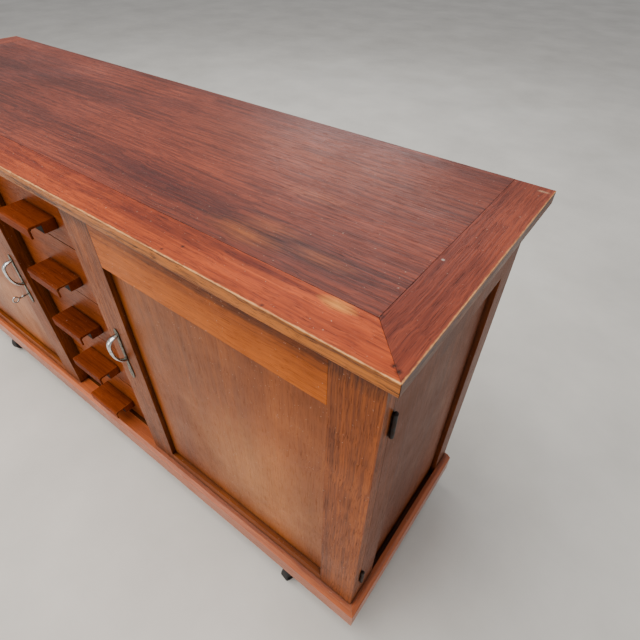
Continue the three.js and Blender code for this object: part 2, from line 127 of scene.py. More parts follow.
# ------------------------------------------------------------------ node helpers
class Sheet:
    """Adds nodes to one node tree and links them."""

    def __init__(self, tree: bpy.types.NodeTree) -> None:
        """Starts on an empty tree.

        Args:
            tree: the node tree to fill.
        """
        self.tree = tree
        tree.nodes.clear()

    def add(self, kind: str, inputs: dict[Any, Any] | None = None, **settings: Any) -> bpy.types.Node:
        """Adds one node.

        Args:
            kind: the node's type name.
            inputs: values or sockets for the node's inputs, by name or index.
            **settings: properties to set on the node.

        Returns:
            The new node.
        """
        node = self.tree.nodes.new(kind)
        for name, value in settings.items():
            setattr(node, name, value)
        for key, value in (inputs or {}).items():
            if isinstance(value, bpy.types.NodeSocket):
                self.tree.links.new(value, node.inputs[key])
            else:
                node.inputs[key].default_value = value
        return node

    def math(
            self, operation: str, first: Any, second: Any = 0.0, clamp: bool = False) -> bpy.types.NodeSocket:
        """Adds a Math node.

        Args:
            operation: the node's operation.
            first: its first value or socket.
            second: its second value or socket.
            clamp: whether the result is held between 0 and 1.

        Returns:
            The result's socket.
        """
        node = self.add("ShaderNodeMath", {0: first, 1: second}, operation=operation, use_clamp=clamp)
        return node.outputs[0]

    def mix(self, factor: Any, first: Any, second: Any, blend: str = "MIX") -> bpy.types.NodeSocket:
        """Adds a colour Mix node.

        Args:
            factor: how much of the second colour.
            first: the first colour or socket.
            second: the second colour or socket.
            blend: the blend type.

        Returns:
            The mixed colour's socket.
        """
        node = self.add("ShaderNodeMix", {0: factor, 6: first, 7: second}, data_type="RGBA", blend_type=blend)
        return node.outputs[2]

    def spread(
            self, value: Any, low: float, high: float,
            to_low: float = 0.0, to_high: float = 1.0) -> bpy.types.NodeSocket:
        """Stretches a range of values over another, clamped.

        Args:
            value: the socket to stretch.
            low: the start of its range.
            high: the end of its range.
            to_low: the start of the new range.
            to_high: the end of the new range.

        Returns:
            The stretched value's socket.
        """
        node = self.add("ShaderNodeMapRange", {0: value, 1: low, 2: high, 3: to_low, 4: to_high}, clamp=True)
        return node.outputs[0]

    def noise(
            self, vector: Any, scale: float, detail: float = 2.0,
            rough: float = 0.5, warp: float = 0.0) -> bpy.types.NodeSocket:
        """Adds a Noise node.

        Args:
            vector: where it is read.
            scale: its scale.
            detail: its octaves.
            rough: its octaves' strength.
            warp: its distortion.

        Returns:
            The noise value's socket.
        """
        inputs = {"Vector": vector, "Scale": scale, "Detail": detail, "Roughness": rough, "Distortion": warp}
        return self.add("ShaderNodeTexNoise", inputs).outputs["Fac"]

    def group(self, tree: bpy.types.NodeTree, vector: Any, **values: float) -> bpy.types.Node:
        """Adds a shared effect and feeds it.

        Args:
            tree: the effect's node group.
            vector: the socket for its Vector input.
            **values: its other inputs, by name.

        Returns:
            The group's node.
        """
        node = self.add("ShaderNodeGroup", {}, node_tree=tree)
        self.tree.links.new(vector, node.inputs["Vector"])
        for name, value in values.items():
            node.inputs[name].default_value = value
        return node

    def stretched(self, vector: Any, along: float, across: float) -> bpy.types.NodeSocket:
        """Scales a grain vector, whose X runs along the grain.

        Args:
            vector: the vector to scale.
            along: the scale along the grain.
            across: the scale across the grain.

        Returns:
            The scaled vector's socket.
        """
        inputs = {"Vector": vector, "Scale": (along, across, across)}
        return self.add("ShaderNodeMapping", inputs).outputs[0]


def new_material(name: str) -> tuple[bpy.types.Material, Sheet, bpy.types.NodeSocket]:
    """Starts a material.

    Args:
        name: its name.

    Returns:
        The material, its sheet and its Object coordinates.
    """
    material = bpy.data.materials.new(name)
    material.use_nodes = True
    sheet = Sheet(material.node_tree)
    return material, sheet, sheet.add("ShaderNodeTexCoord").outputs["Object"]


def effect_group(
        name: str, inputs: dict[str, float],
        outputs: list[str]) -> tuple[Sheet, bpy.types.Node, bpy.types.Node]:
    """Starts a shader node group.

    Args:
        name: the group's name.
        inputs: the default value of each plain input, by name; every group also has a Vector.
        outputs: the names of its outputs, all plain values.

    Returns:
        The group's sheet, its input node and its output node.
    """
    tree = bpy.data.node_groups.new(name, "ShaderNodeTree")
    sheet = Sheet(tree)
    tree.interface.new_socket(name="Vector", in_out="INPUT", socket_type="NodeSocketVector")
    for key, value in inputs.items():
        socket = tree.interface.new_socket(name=key, in_out="INPUT", socket_type="NodeSocketFloat")
        socket.default_value = value
    for key in outputs:
        tree.interface.new_socket(name=key, in_out="OUTPUT", socket_type="NodeSocketFloat")
    return sheet, sheet.add("NodeGroupInput"), sheet.add("NodeGroupOutput")


class Effects:
    """The shader node groups that the finishes share."""

    def __init__(self) -> None:
        """Builds each group once."""
        self.grain = self._grain()
        self.wear = self._wear()
        self.grime = self._grime()
        self.contact = self._contact()

    @staticmethod
    def _grain() -> bpy.types.NodeTree:
        """Open oak grain along X: slow tone, streaks, ribs and pores."""
        sheet, given, result = effect_group(
            "oak grain", {"Seed": 0.0}, ["Tone", "Streaks", "Ribs", "Pores"])
        shift = sheet.add("ShaderNodeCombineXYZ", {
            0: sheet.math("MULTIPLY", given.outputs["Seed"], 3.17),
            1: sheet.math("MULTIPLY", given.outputs["Seed"], 1.31),
            2: sheet.math("MULTIPLY", given.outputs["Seed"], 2.03)}).outputs[0]
        moved = sheet.add(
            "ShaderNodeVectorMath", {0: given.outputs["Vector"], 1: shift}, operation="ADD").outputs[0]
        # A slow sway across the grain keeps the lines from running dead straight.
        sway_at = sheet.stretched(moved, 2.4, 5.0)
        sway = sheet.math("MULTIPLY", sheet.math("SUBTRACT", sheet.noise(sway_at, 1.0, 2.0), 0.5), 0.028)
        ripple_at = sheet.stretched(moved, 26.0, 9.0)
        ripple = sheet.math("MULTIPLY", sheet.math("SUBTRACT", sheet.noise(ripple_at, 1.0, 1.0), 0.5), 0.0045)
        offset = sheet.math("ADD", sway, ripple)
        bend = sheet.add("ShaderNodeCombineXYZ", {0: 0.0, 1: offset, 2: offset}).outputs[0]
        along = sheet.add("ShaderNodeVectorMath", {0: moved, 1: bend}, operation="ADD").outputs[0]

        tone = sheet.noise(sheet.stretched(along, 0.9, 7.5), 1.0, 2.0)
        streaks = sheet.noise(sheet.stretched(along, 1.6, 90.0), 1.0, 5.0, 0.7)
        ribs = sheet.noise(sheet.stretched(along, 7.0, 290.0), 1.0, 3.0, 0.6)
        pores = sheet.noise(sheet.stretched(along, 24.0, 900.0), 1.0, 2.0, 0.6)
        for key, value in (
                ("Tone", sheet.spread(tone, 0.3, 0.7)), ("Streaks", sheet.spread(streaks, 0.3, 0.7)),
                ("Ribs", sheet.spread(ribs, 0.42, 0.6)), ("Pores", sheet.spread(pores, 0.54, 0.68))):
            sheet.tree.links.new(value, result.inputs[key])
        return sheet.tree

    @staticmethod
    def _wear() -> bpy.types.NodeTree:
        """Rubbed edges: strong where faces meet, broken up by noise."""
        sheet, given, result = effect_group(
            "edge wear", {"Radius": 0.003, "Amount": 1.0, "Patches": 0.5}, ["Mask"])
        rounded = sheet.add("ShaderNodeBevel", {"Radius": given.outputs["Radius"]}, samples=4).outputs[0]
        flat = sheet.add("ShaderNodeNewGeometry").outputs["True Normal"]
        facing = sheet.add(
            "ShaderNodeVectorMath", {0: rounded, 1: flat}, operation="DOT_PRODUCT").outputs["Value"]
        edge = sheet.spread(facing, 0.997, 0.86)
        broken = sheet.noise(given.outputs["Vector"], 38.0, 4.0, 0.7)
        slow = sheet.noise(given.outputs["Vector"], 5.0, 1.0)
        gate = sheet.math("ADD", broken, sheet.math("MULTIPLY", sheet.math("SUBTRACT", slow, 0.5), 0.8))
        kept = sheet.spread(gate, given.outputs["Patches"], 0.75)
        narrowed = sheet.math("MULTIPLY", edge, kept)
        mask = sheet.math("MULTIPLY", narrowed, given.outputs["Amount"], clamp=True)
        sheet.tree.links.new(mask, result.inputs["Mask"])
        return sheet.tree

    @staticmethod
    def _contact() -> bpy.types.NodeTree:
        """Painted shade: darkens narrow gaps and inner corners by ambient occlusion, broken up by noise."""
        sheet, given, result = effect_group("contact", {}, ["Mask"])
        shut = sheet.add("ShaderNodeAmbientOcclusion", {"Distance": 0.016}, samples=6).outputs["AO"]
        uneven = sheet.math("MULTIPLY", sheet.noise(given.outputs["Vector"], 26.0, 3.0), 0.16)
        mask = sheet.spread(sheet.math("SUBTRACT", shut, uneven), 0.72, 0.26)
        sheet.tree.links.new(mask, result.inputs["Mask"])
        return sheet.tree

    @staticmethod
    def _grime() -> bpy.types.NodeTree:
        """Handling marks and dust: cloudy patches, fine specks and thin scratches."""
        sheet, given, result = effect_group("grime", {}, ["Cloud", "Specks", "Scratches"])
        where = given.outputs["Vector"]
        cloud = sheet.spread(sheet.noise(where, 4.6, 5.0, 0.62, 0.4), 0.36, 0.68)
        specks = sheet.spread(sheet.noise(where, 240.0, 1.0), 0.73, 0.78)
        turned = sheet.add("ShaderNodeMapping", {
            "Vector": where, "Rotation": (0.2, 0.35, 0.6), "Scale": (5.0, 420.0, 420.0)}).outputs[0]
        scratches = sheet.spread(sheet.noise(turned, 1.0, 0.0), 0.76, 0.82)
        for key, value in (("Cloud", cloud), ("Specks", specks), ("Scratches", scratches)):
            sheet.tree.links.new(value, result.inputs[key])
        return sheet.tree


# ------------------------------------------------------------------ finishes
@dataclass(frozen=True)
class Mark:
    """A small local mark on a board. Spots and worn patches are marks, and so is painted shade, such as the
    shadow under the top's overhang and the shade under each pull.
    """

    centre: tuple[float, float, float]
    size: tuple[float, float, float]
    colour: tuple[float, float, float, float]
    strength: float = 0.9


@dataclass(frozen=True)
class OakFinish:
    """Stained and waxed oak."""

    dark: tuple[float, float, float, float]
    light: tuple[float, float, float, float]
    worn: tuple[float, float, float, float]
    roughness: float = 0.42
    rib_depth: float = 0.35
    streak_depth: float = 0.45
    pore_depth: float = 0.5
    bump: float = 0.25
    wear: float = 0.55
    patches: float = 0.5
    coat: float = 0.1
    marks: tuple[Mark, ...] = ()
    raw_behind: float | None = None
    face: tuple[float, float, float, float] | None = None
    arris: float = 0.0
    groove: tuple[float, float, float] | None = None
    gloss: float = 0.26
    mottle: float = 0.28

    def build(self, name: str, effects: Effects, grain: Grain, seed: float) -> bpy.types.Material:
        """Makes the material.

        Args:
            name: the material's name.
            effects: the shared node groups.
            grain: which way the board's grain runs.
            seed: shifts the grain, so that no two boards match.

        Returns:
            The material.
        """
        material, sheet, place = new_material(name)
        turn = {Grain.LENGTH: (0, 0, 0), Grain.DEPTH: (0, 0, -math.pi / 2), Grain.HEIGHT: (0, math.pi / 2, 0)}
        lined = sheet.add("ShaderNodeMapping", {"Vector": place, "Rotation": turn[grain]}).outputs[0]
        fibre = sheet.group(effects.grain, lined, Seed=seed)
        grime = sheet.group(effects.grime, place)
        wear = sheet.group(effects.wear, place, Radius=3 * MM, Amount=self.wear, Patches=self.patches)

        tone = sheet.math("MULTIPLY", fibre.outputs["Tone"], 0.7)
        lines = sheet.math("MULTIPLY", fibre.outputs["Streaks"], self.streak_depth)
        shade = sheet.math("ADD", tone, lines, clamp=True)
        colour = sheet.mix(shade, self.dark, self.light)
        for mark in self.marks:
            colour = self._spot(sheet, place, colour, mark, fibre.outputs["Streaks"])
        ribbed = sheet.math("MULTIPLY", fibre.outputs["Ribs"], self.rib_depth)
        colour = sheet.mix(ribbed, colour, RIB_SHADE, "MULTIPLY")
        pores = sheet.math("MULTIPLY", fibre.outputs["Pores"], self.pore_depth)
        colour = sheet.mix(pores, colour, PORE_SHADE, "MULTIPLY")
        cloud = sheet.math("MULTIPLY", grime.outputs["Cloud"], self.mottle)
        colour = sheet.mix(cloud, colour, CLOUD_SHADE, "MULTIPLY")
        specks = sheet.math("MULTIPLY", grime.outputs["Specks"], 0.35)
        colour = sheet.mix(specks, colour, DUST)
        colour = sheet.mix(wear.outputs["Mask"], colour, self.worn)
        if self.face is not None:
            colour = self._edge_face(sheet, place, colour, fibre.outputs["Pores"], fibre.outputs["Streaks"])
        if self.groove is not None:
            colour = self._groove(sheet, place, colour)
        # Painted shade: every board is darkened in its inner corners and narrow gaps.
        contact = sheet.group(effects.contact, place)
        shut = sheet.math("MULTIPLY", contact.outputs["Mask"], CONTACT_AMOUNT)
        colour = sheet.mix(shut, colour, CONTACT_SHADE_COLOUR)
        if self.raw_behind is not None:
            depth = sheet.add("ShaderNodeSeparateXYZ", {0: place}).outputs["Y"]
            behind = sheet.math("GREATER_THAN", depth, self.raw_behind)
            raw = sheet.mix(sheet.math("MULTIPLY", shade, 0.7), RAW_DARK, RAW_LIGHT)
            colour = sheet.mix(behind, colour, raw)

        sheen = sheet.spread(grime.outputs["Cloud"], 0.0, 1.0, self.roughness - 0.06, self.roughness + 0.1)
        dull = sheet.math("MULTIPLY", fibre.outputs["Pores"], 0.2)
        rubbed = sheet.math("MULTIPLY", wear.outputs["Mask"], 0.12)
        rough = sheet.math("ADD", sheet.math("ADD", sheen, dull), rubbed)
        height = sheet.math("SUBTRACT", sheet.math("MULTIPLY", fibre.outputs["Streaks"], 0.3),
                            sheet.math("MULTIPLY", fibre.outputs["Pores"], 0.6))
        height = sheet.math("SUBTRACT", height, sheet.math("MULTIPLY", fibre.outputs["Ribs"], self.rib_depth))
        height = sheet.math("SUBTRACT", height, sheet.math("MULTIPLY", grime.outputs["Scratches"], 0.25))
        bump = sheet.add("ShaderNodeBump", {"Strength": self.bump, "Distance": 0.0006, "Height": height})
        skin = sheet.add("ShaderNodeBsdfPrincipled", {
            "Base Color": colour, "Roughness": rough, "Normal": bump.outputs[0],
            "Coat Weight": self.coat, "Coat Roughness": 0.24, "Specular IOR Level": self.gloss})
        sheet.add("ShaderNodeOutputMaterial", {"Surface": skin.outputs[0]})
        return material

    def _edge_face(
            self, sheet: Sheet, place: Any, colour: Any, pores: Any, streaks: Any) -> bpy.types.NodeSocket:
        """Colours the upright edges of the top and rubs their upper arris pale.

        Args:
            sheet: the material's sheet.
            place: the Object coordinates.
            colour: the colour so far.
            pores: the grain's pores.
            streaks: the grain's streaks.

        Returns:
            The colour with its edges.
        """
        facing = sheet.add("ShaderNodeNewGeometry").outputs["True Normal"]
        up = sheet.add("ShaderNodeSeparateXYZ", {0: facing}).outputs["Z"]
        upright = sheet.spread(sheet.math("ABSOLUTE", up), 0.9, 0.5)
        aged = sheet.mix(sheet.spread(streaks, 0.2, 0.7), FACE_STREAK, self.face)
        aged = sheet.mix(sheet.math("MULTIPLY", pores, 0.9), aged, FACE_PORE)
        colour = sheet.mix(upright, colour, aged)
        parts = sheet.add("ShaderNodeSeparateXYZ", {0: place})
        height = parts.outputs["Z"]
        rub = sheet.math("MULTIPLY", sheet.math("SUBTRACT", sheet.noise(place, 60.0, 5.0, 0.75), 0.5), 0.005)
        to_front = sheet.math("SUBTRACT", parts.outputs["Y"], TOP_FRONT)
        to_end = sheet.math("SUBTRACT", RIGHT_END, sheet.math("ABSOLUTE", parts.outputs["X"]))
        inward = sheet.math("ADD", sheet.math("MINIMUM", to_front, to_end), rub)
        below = sheet.math("ADD", sheet.math("SUBTRACT", TOP_Z, height), rub)
        by_rim = sheet.spread(inward, 2.2 * MM, 0.4 * MM)
        by_top = sheet.spread(below, 2.2 * MM, 0.6 * MM)
        near = sheet.math("MULTIPLY", by_rim, by_top)
        kept = sheet.spread(sheet.noise(place, 14.0, 4.0, 0.7), 0.36, 0.56, 0.25, self.arris)
        return sheet.mix(sheet.math("MULTIPLY", near, kept), colour, self.worn)

    def _groove(self, sheet: Sheet, place: Any, colour: Any) -> bpy.types.NodeSocket:
        """Paints deep shade into the finger groove under a pull.

        Args:
            sheet: the material's sheet.
            place: the Object coordinates.
            colour: the colour so far.

        Returns:
            The colour with painted shade in its groove.
        """
        front, back, ceiling = self.groove
        parts = sheet.add("ShaderNodeSeparateXYZ", {0: place})
        behind = sheet.math("GREATER_THAN", parts.outputs["Y"], front)
        before = sheet.math("LESS_THAN", parts.outputs["Y"], back)
        under = sheet.math("LESS_THAN", parts.outputs["Z"], ceiling)
        inside = sheet.math("MULTIPLY", sheet.math("MULTIPLY", behind, before), under)
        return sheet.mix(sheet.math("MULTIPLY", inside, 0.97), colour, GROOVE_SHADE)

    @staticmethod
    def _spot(sheet: Sheet, place: Any, colour: Any, mark: Mark, streaks: Any) -> bpy.types.NodeSocket:
        """Lays one mark over the colour.

        Args:
            sheet: the material's sheet.
            place: the Object coordinates.
            colour: the colour so far.
            mark: the mark.
            streaks: the grain's streaks, which break up its rim.

        Returns:
            The colour with the mark.
        """
        away = sheet.add("ShaderNodeVectorMath", {0: place, 1: mark.centre}, operation="SUBTRACT").outputs[0]
        inverse = tuple(1 / value for value in mark.size)
        scaled = sheet.add("ShaderNodeVectorMath", {0: away, 1: inverse}, operation="MULTIPLY").outputs[0]
        length = sheet.add("ShaderNodeVectorMath", {0: scaled}, operation="LENGTH").outputs["Value"]
        rough = sheet.math("MULTIPLY", sheet.math("ADD", sheet.noise(place, 60.0, 4.0), streaks), 0.5)
        cover = sheet.spread(sheet.math("ADD", length, rough), 1.6, 0.5, 0.0, mark.strength)
        return sheet.mix(cover, colour, mark.colour)


@dataclass(frozen=True)
class MetalFinish:
    """Plated or blackened metal with dull patches and rubbed edges."""

    clean: tuple[float, float, float, float]
    stained: tuple[float, float, float, float]
    roughness: float
    metallic: float = 1.0
    edge: tuple[float, float, float, float] = (0.5, 0.45, 0.4, 1.0)
    edge_amount: float = 0.4
    bump: float = 0.15

    def build(self, name: str, effects: Effects) -> bpy.types.Material:
        """Makes the material.

        Args:
            name: the material's name.
            effects: the shared node groups.

        Returns:
            The material.
        """
        material, sheet, place = new_material(name)
        wear = sheet.group(effects.wear, place, Radius=1.2 * MM, Amount=self.edge_amount, Patches=0.45)
        blotch = sheet.spread(sheet.noise(place, 140.0, 4.0, 0.65), 0.42, 0.66)
        colour = sheet.mix(blotch, self.clean, self.stained)
        colour = sheet.mix(wear.outputs["Mask"], colour, self.edge)
        rough = sheet.math("ADD", sheet.math("MULTIPLY", blotch, 0.22), self.roughness)
        height = sheet.math("ADD", sheet.noise(place, 420.0, 3.0), sheet.math("MULTIPLY", blotch, 0.4))
        bump = sheet.add("ShaderNodeBump", {"Strength": self.bump, "Distance": 0.0002, "Height": height})
        skin = sheet.add("ShaderNodeBsdfPrincipled", {
            "Base Color": colour, "Roughness": rough, "Metallic": self.metallic, "Normal": bump.outputs[0]})
        sheet.add("ShaderNodeOutputMaterial", {"Surface": skin.outputs[0]})
        return material


# ------------------------------------------------------------------ modelling helpers
class Bench:
    """Shapes new pieces with Blender's own operators."""

    @staticmethod
    def clear() -> None:
        """Leaves edit mode and selects nothing."""
        if bpy.context.object is not None and bpy.context.object.mode != "OBJECT":
            bpy.ops.object.mode_set(mode="OBJECT")
        bpy.ops.object.select_all(action="DESELECT")

    @staticmethod
    def pick(test: Callable[[Vector], bool], kind: str = "VERT") -> None:
        """Selects the parts of the mesh in edit mode that pass a test, and nothing else.

        Args:
            test: takes the place of a vertex or the middle of a face.
            kind: VERT or FACE.
        """
        bpy.ops.mesh.select_mode(type=kind)
        bpy.ops.mesh.select_all(action="DESELECT")
        bpy.ops.object.mode_set(mode="OBJECT")
        mesh = bpy.context.object.data
        if kind == "VERT":
            for vertex in mesh.vertices:
                vertex.select = test(vertex.co)
        else:
            for face in mesh.polygons:
                face.select = test(face.center)
        bpy.ops.object.mode_set(mode="EDIT")

    @staticmethod
    def run_along(stations: list[tuple[Vector, float, float]]) -> None:
        """Extrudes the selected face through a row of places, in the plane of Y and Z, turned to follow them.

        Args:
            stations: each place with its size factor and its tilt in radians, both against the one before.
        """
        for place, grow, tilt in stations:
            bpy.ops.mesh.extrude_region_move(TRANSFORM_OT_translate={"value": place})
            if abs(tilt) > 1e-6:
                mesh = bpy.context.object.data
                bpy.ops.object.mode_set(mode="OBJECT")
                chosen = [vertex.co for vertex in mesh.vertices if vertex.select]
                centre = sum(chosen, Vector()) / len(chosen)
                bpy.ops.object.mode_set(mode="EDIT")
                bpy.ops.transform.rotate(value=tilt, orient_axis="X", center_override=centre)
            if grow != 1.0:
                bpy.ops.transform.resize(value=(grow, grow, grow))

    @staticmethod
    def finish(
            obj: bpy.types.Object, bevel: float = 0.0, levels: int = 0,
            angle: float = 30.0) -> None:
        """Merges, turns outwards, softens and shades a piece, and applies its place.

        Args:
            obj: the piece.
            bevel: the width of the softened edges in metres.
            levels: subdivision levels.
            angle: the least angle of an edge that is softened, in degrees.
        """
        Bench.clear()
        obj.select_set(True)
        bpy.context.view_layer.objects.active = obj
        bpy.ops.object.transform_apply(location=True, rotation=True, scale=True)
        bpy.ops.object.mode_set(mode="EDIT")
        bpy.ops.mesh.select_all(action="SELECT")
        bpy.ops.mesh.remove_doubles(threshold=0.00002)
        bpy.ops.mesh.normals_make_consistent(inside=False)
        bpy.ops.object.mode_set(mode="OBJECT")
        if bevel > 0:
            soften = obj.modifiers.new("soften", "BEVEL")
            soften.width = bevel
            soften.segments = 2
            soften.limit_method = "ANGLE"
            soften.angle_limit = math.radians(angle)
            bpy.ops.object.modifier_apply(modifier=soften.name)
        if levels > 0:
            round_off = obj.modifiers.new("round", "SUBSURF")
            round_off.levels = levels
            round_off.render_levels = levels
            bpy.ops.object.modifier_apply(modifier=round_off.name)
        bpy.ops.object.shade_smooth_by_angle(angle=math.radians(SMOOTH_BELOW))
        Bench.clear()

    @staticmethod
    def merge(name: str, pieces: list[bpy.types.Object]) -> bpy.types.Object:
        """Joins finished shapes into one piece.

        Args:
            name: the piece's name.
            pieces: the shapes.

        Returns:
            The joined piece.
        """
        Bench.clear()
        for piece in pieces:
            piece.select_set(True)
        bpy.context.view_layer.objects.active = pieces[0]
        bpy.ops.object.join()
        pieces[0].name = name
        pieces[0].data.name = name
        Bench.clear()
        return pieces[0]


def dress(piece: bpy.types.Object, material: bpy.types.Material) -> None:
    """Gives a piece one material.

    Args:
        piece: the piece or CAD node.
        material: its material.
    """
    piece.data.materials.clear()
    piece.data.materials.append(material)


def soften_node(node: str, width: float) -> None:
    """Softens the edges of a CAD node with modifiers.

    Args:
        node: the node's name.
        width: the width of the softened edges in metres.
    """
    piece = frame["nodes"][node]
    weld = piece.modifiers.new("weld", "WELD")
    weld.merge_threshold = 0.00001
    bevel = piece.modifiers.new("bevel", "BEVEL")
    bevel.width = width
    bevel.segments = 2
    bevel.limit_method = "ANGLE"
    bevel.angle_limit = math.radians(35)
    bevel.use_clamp_overlap = True


# ------------------------------------------------------------------ the palette
WORN = rgb(228, 164, 100)
TOP_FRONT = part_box("top_front_border")[0].y
TOP_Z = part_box("top_front_border")[1].z
RIGHT_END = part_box("top_right_border")[1].x
DOOR_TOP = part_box("door_right_top_rail")[1].z


def on_top(
        x: float, y: float, size: tuple[float, float, float],
        colour: tuple[float, float, float, float], strength: float = 1.0) -> Mark:
    """Places a mark on the upper face of the top.

    Args:
        x: its middle from left to right, in millimetres.
        y: its middle from front to back, in millimetres.
        size: its half sizes in millimetres.
        colour: its colour.
        strength: how much it covers.

    Returns:
        The mark.
    """
    return Mark((x * MM, y * MM, TOP_Z), tuple(value * MM for value in size), colour, strength)


@dataclass(frozen=True)
class Palette:
    """The cabinet's finishes."""

    top: OakFinish = OakFinish(
        dark=rgb(73, 21, 14), light=rgb(157, 71, 43), worn=WORN, roughness=0.4, rib_depth=0.7,
        gloss=0.42, mottle=0.6, streak_depth=0.5, pore_depth=0.6, bump=0.3, wear=0.0, coat=0.0,
        marks=(
            on_top(-450, 20, (550, 260, 10), rgb(84, 34, 28), 0.5),
            on_top(300, -110, (240, 60, 10), rgb(72, 26, 26), 0.6),
            on_top(610, -125, (160, 45, 10), rgb(60, 18, 16), 0.7),
            on_top(480, 130, (340, 120, 10), rgb(164, 84, 52), 0.45),
            on_top(535, -138, (70, 22, 10), rgb(184, 100, 38), 0.7),
            on_top(556, -100, (60, 18, 10), rgb(176, 94, 44), 0.5),
            on_top(556, 10, (80, 20, 10), rgb(190, 108, 66), 0.35),
            on_top(653, -120, (55, 16, 10), rgb(178, 96, 50), 0.5)))
    border: OakFinish = OakFinish(
        dark=rgb(131, 38, 14), light=rgb(206, 92, 36), worn=WORN, roughness=0.4, rib_depth=0.5,
        gloss=0.3, mottle=0.6, streak_depth=0.5, pore_depth=0.65, bump=0.3, wear=0.0, coat=0.0,
        face=rgb(186, 104, 24), arris=0.95,
        marks=(
            on_top(-250, -215, (650, 80, 10), rgb(120, 46, 30), 0.45),
            on_top(360, -188, (260, 26, 10), rgb(92, 30, 24), 0.75),
            on_top(605, -180, (100, 16, 10), rgb(84, 24, 16), 0.75),
            on_top(-100, -186, (300, 30, 10), rgb(92, 32, 26), 0.7),
            on_top(725, -181, (26, 13, 10), rgb(246, 160, 64), 0.9),
            on_top(657, -234, (3.8, 3.8, 6), rgb(10, 5, 4)),
            on_top(495, -210, (3.8, 3.8, 6), rgb(10, 5, 4)),
            on_top(478, -230, (3.2, 3.2, 6), rgb(10, 5, 4)),
            on_top(772, -166, (7, 5, 6), rgb(8, 4, 3)),
            on_top(831, -226, (4.6, 4.6, 6), rgb(6, 4, 4)),
            on_top(823, -222, (4, 4, 6), rgb(6, 4, 4)),
            on_top(781, -25, (3, 3, 4), rgb(235, 225, 210), 0.9),
            on_top(826, 245, (10, 4, 4), rgb(230, 190, 150), 0.8)))
    end_border: OakFinish = replace(
        border, dark=rgb(97, 33, 20), light=rgb(160, 75, 47), mottle=0.5, face=rgb(128, 66, 20), arris=0.7)
    stile: OakFinish = OakFinish(
        dark=rgb(78, 32, 4), light=rgb(172, 88, 20), worn=rgb(190, 120, 66), rib_depth=0.55,
        wear=0.3, gloss=0.16, mottle=0.5, pore_depth=0.6)
    rail: OakFinish = OakFinish(
        dark=rgb(128, 56, 0), light=rgb(212, 108, 0), worn=rgb(214, 140, 72), rib_depth=0.2,
        wear=0.3, gloss=0.12, mottle=0.45)
    panel: OakFinish = OakFinish(
        dark=rgb(100, 44, 6), light=rgb(176, 92, 18), worn=rgb(180, 110, 60), roughness=0.34,
        rib_depth=0.12, streak_depth=0.4, pore_depth=0.3, bump=0.12, wear=0.0, gloss=0.16, mottle=0.75)
    case: OakFinish = OakFinish(
        dark=rgb(86, 35, 7), light=rgb(139, 69, 23), worn=rgb(160, 100, 56), roughness=0.46, rib_depth=0.25,
        wear=0.25, gloss=0.16, pore_depth=0.4)
    drawer: OakFinish = OakFinish(
        dark=rgb(96, 38, 4), light=rgb(158, 76, 16), worn=rgb(196, 128, 84), rib_depth=0.2,
        wear=0.3, gloss=0.14)
    pull: OakFinish = OakFinish(
        dark=rgb(84, 30, 8), light=rgb(160, 74, 26), worn=rgb(214, 140, 90), rib_depth=0.25,
        wear=0.5, roughness=0.46, gloss=0.04, coat=0.0)
    plinth: OakFinish = OakFinish(
        dark=rgb(122, 50, 18), light=rgb(208, 106, 46), worn=rgb(222, 150, 96), rib_depth=0.3,
        gloss=0.6, wear=0.6, patches=0.35, roughness=0.34)
    inner: OakFinish = OakFinish(
        dark=rgb(66, 30, 2), light=rgb(120, 62, 8), worn=rgb(160, 110, 70), roughness=0.6,
        rib_depth=0.2, wear=0.0, coat=0.0, gloss=0.1)
    iron: MetalFinish = MetalFinish(
        clean=rgb(34, 32, 32), stained=rgb(62, 42, 32), roughness=0.46, metallic=0.85,
        edge=rgb(120, 112, 104))
    nickel: MetalFinish = MetalFinish(
        clean=rgb(214, 216, 218), stained=rgb(150, 148, 140), roughness=0.14,
        edge=rgb(225, 220, 205), edge_amount=0.3)
    tarnished: MetalFinish = MetalFinish(
        clean=rgb(120, 118, 108), stained=rgb(74, 70, 62), roughness=0.3,
        edge=rgb(170, 168, 160), edge_amount=0.4)
    rubber: MetalFinish = MetalFinish(
        clean=rgb(26, 26, 28), stained=rgb(52, 49, 46), roughness=0.62, metallic=0.0, edge=rgb(84, 80, 76))


# ------------------------------------------------------------------ sub-assemblies
@dataclass
class Boards:
    """The wooden boards, all carried over from the CAD model."""

    palette: Palette
    effects: Effects
    edge: float = 0.9 * MM
    top_edge: float = 0.7 * MM
    count: int = 0

    def paint(self, node: str, finish: OakFinish, grain: Grain, edge: float | None = None) -> None:
        """Softens one board's edges and gives it its own material.

        Args:
            node: the CAD node.
            finish: the finish.
            grain: which way its grain runs.
            edge: the width of its softened edges in metres.
        """
        self.count += 1
        soften_node(node, edge if edge is not None else self.edge)
        dress(frame["nodes"][node], finish.build(f"oak {node}", self.effects, grain, 1.0 + 0.77 * self.count))
        LOG.info("board %s", node)

    def build(self) -> None:
        """Dresses the top, the case, the plinth and the boards inside."""
        look = self.palette
        stained_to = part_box("case_bottom")[0].y + 34 * MM
        inside = replace(look.inner, raw_behind=stained_to)
        self.paint("top_centre_panel", look.top, Grain.LENGTH, 0.4 * MM)
        self.paint("top_front_border", look.border, Grain.LENGTH, self.top_edge)
        for side in Side:
            word = side.word
            self.paint(f"top_{word}_border", look.end_border, Grain.DEPTH, self.top_edge)
            self.paint(f"end_frame_{word}", look.case, Grain.HEIGHT)
            self.paint(f"end_panel_{word}", look.case, Grain.HEIGHT)
            self.paint(f"partition_{word}", inside, Grain.HEIGHT)
            self.paint(f"plinth_{word}", look.plinth, Grain.DEPTH, 1.2 * MM)
        self.paint("plinth_front", look.plinth, Grain.LENGTH, 1.2 * MM)
        self.paint("case_bottom", inside, Grain.LENGTH)
        self.paint("back_panel", inside, Grain.LENGTH)
        self.paint("rail_under_top", look.stile, Grain.LENGTH)


